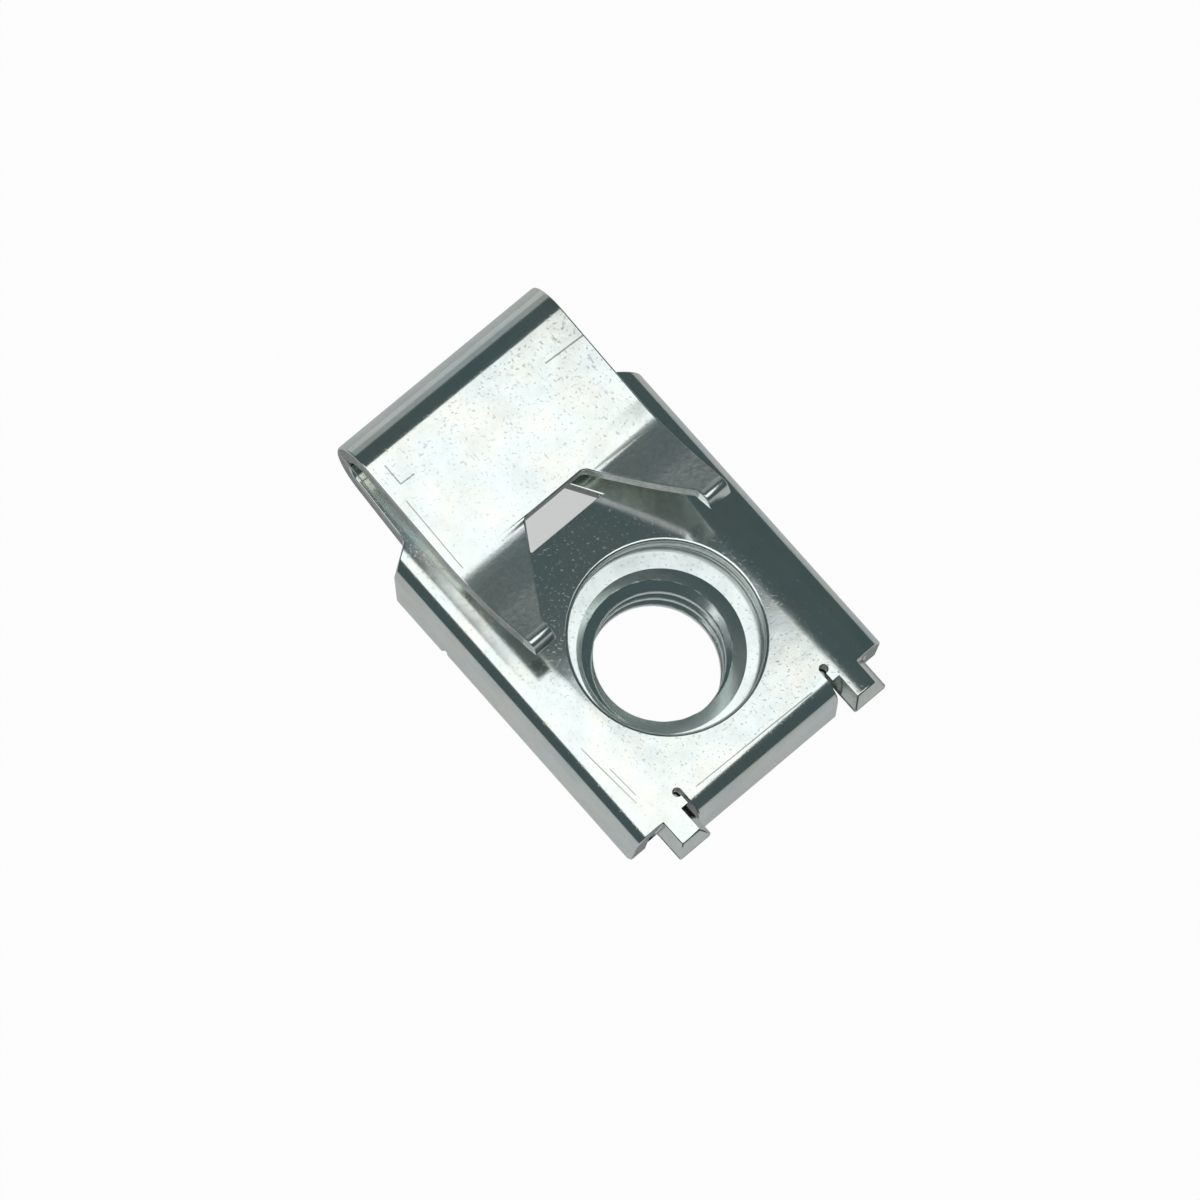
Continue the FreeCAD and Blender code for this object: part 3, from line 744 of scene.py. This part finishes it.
# a hair lower than the part, so that the floor doesn't share a plane with the nut's base
lowest = min(clip_low.z, nut_low.z) - A_HAIR
bpy.ops.mesh.primitive_plane_add(size=FLOOR_SIZE, location=(0, 0, lowest))
floor = bpy.context.object
floor.name = "floor"
floor.data.materials.append(white_ground())
print("the floor lies at", round(floor.location.z / MM, 2), "mm")

# %% [markdown]
# The world is split in the same way: white behind the part for the camera, and a dim, slightly
# blue room for everything else. The bends mirror this room as dark bands.

# %% The world
ROOM_COLOUR = (0.066, 0.093, 0.096, 1.0)

world = bpy.data.worlds.new("dim_room")
bpy.context.scene.world = world
world.use_nodes = True
room = world.node_tree
room.nodes.clear()
room_path = add(room, "ShaderNodeLightPath").outputs
dim = add(room, "ShaderNodeBackground", {"Color": ROOM_COLOUR, "Strength": 1.0})
white = add(room, "ShaderNodeBackground", {"Color": PURE_WHITE, "Strength": 1.0})
backdrop = add(room, "ShaderNodeMixShader", {
    0: room_path["Is Camera Ray"], 1: dim.outputs[0], 2: white.outputs[0]})
add(room, "ShaderNodeOutputWorld", {"Surface": backdrop.outputs[0]})
print("the room's colour is", ROOM_COLOUR[:3])

# %% [markdown]
# **Lights.** The arm and the front of the plate mirror the broad light overhead. It hangs low, so
# that its near edge, which runs along (0.371, 0.929), crosses the plate slantwise as seen in the
# metal, as it does in the photograph. Two dimmer lights behind the U-bend, one over the other, let
# its dark side brighten downwards. An area light is set by its power, so the helper works the
# power out from how bright its face should look.

# %% The lights
# a light's name, place in mm, facing, the way of its width, width and depth in mm, brightness
SOFT_BOXES = (
    ("overhead", (4.5, -32.0, 90.0), (0, 0, -1), (0.9285, -0.3714, 0), 68, 124, 1.13),
    ("rear_low", (-137.0, 52.0, 21.0), (0.925, -0.353, -0.14), (0.357, 0.934, 0), 130, 48, 0.42),
    ("rear_high", (-123.0, 47.0, 66.0), (0.835, -0.319, -0.449), (0.357, 0.934, 0), 130, 48, 0.24),
)


def soft_box(name, place, facing, sideways, width, depth, brightness):
    """A rectangular light whose face looks as bright as the given value."""
    width, depth = width * MM, depth * MM
    light = bpy.data.lights.new(name, "AREA")
    light.shape = "RECTANGLE"
    light.size = width
    light.size_y = depth
    light.energy = brightness * math.pi * width * depth
    lamp = bpy.data.objects.new(name, light)
    bpy.context.scene.collection.objects.link(lamp)
    backward = -Vector(facing).normalized()
    right = Vector(sideways).normalized()
    up = backward.cross(right)
    turned = Matrix((right, up, backward)).transposed().to_4x4()
    lamp.matrix_world = Matrix.Translation(Vector(place) * MM) @ turned
    lamp.visible_camera = False


for soft_box_values in SOFT_BOXES:
    soft_box(*soft_box_values)

# %% [markdown]
# **The camera.** The photograph shows the part from nearly straight above, with hardly any
# perspective, so a long lens stands far away. The point it aims at, its direction and its roll
# were fitted to the part's outline. The direction comes from an elevation and an azimuth, and the
# roll turns the picture about it.

# %% The camera
CAMERA_AIM = Vector((-3.554, -1.301, 0.0)) * MM
CAMERA_DISTANCE = 493.5 * MM
CAMERA_ELEVATION = math.radians(74.581)
CAMERA_AZIMUTH = math.radians(-59.451)
CAMERA_ROLL = math.radians(18.667)
SENSOR_WIDTH = 36.0
LENS = 300.0
CLIP_START, CLIP_END = 10 * MM, 10.0

level = math.cos(CAMERA_ELEVATION)
towards = Vector((level * math.cos(CAMERA_AZIMUTH), level * math.sin(CAMERA_AZIMUTH),
                  math.sin(CAMERA_ELEVATION)))
across = Vector((0, 0, 1)).cross(towards).normalized()
rightward = Matrix.Rotation(CAMERA_ROLL, 3, towards) @ across
upward = towards.cross(rightward)
camera = bpy.data.objects.new("camera", bpy.data.cameras.new("camera"))
bpy.context.scene.collection.objects.link(camera)
camera.data.sensor_width = SENSOR_WIDTH
camera.data.lens = LENS
camera.data.clip_start = CLIP_START
camera.data.clip_end = CLIP_END
turned = Matrix((rightward, upward, towards)).transposed().to_4x4()
camera.matrix_world = Matrix.Translation(CAMERA_AIM + towards * CAMERA_DISTANCE) @ turned
bpy.context.scene.camera = camera
bpy.context.scene.view_settings.view_transform = "Standard"
print("the camera stands at", [round(value / MM) for value in camera.matrix_world.translation])
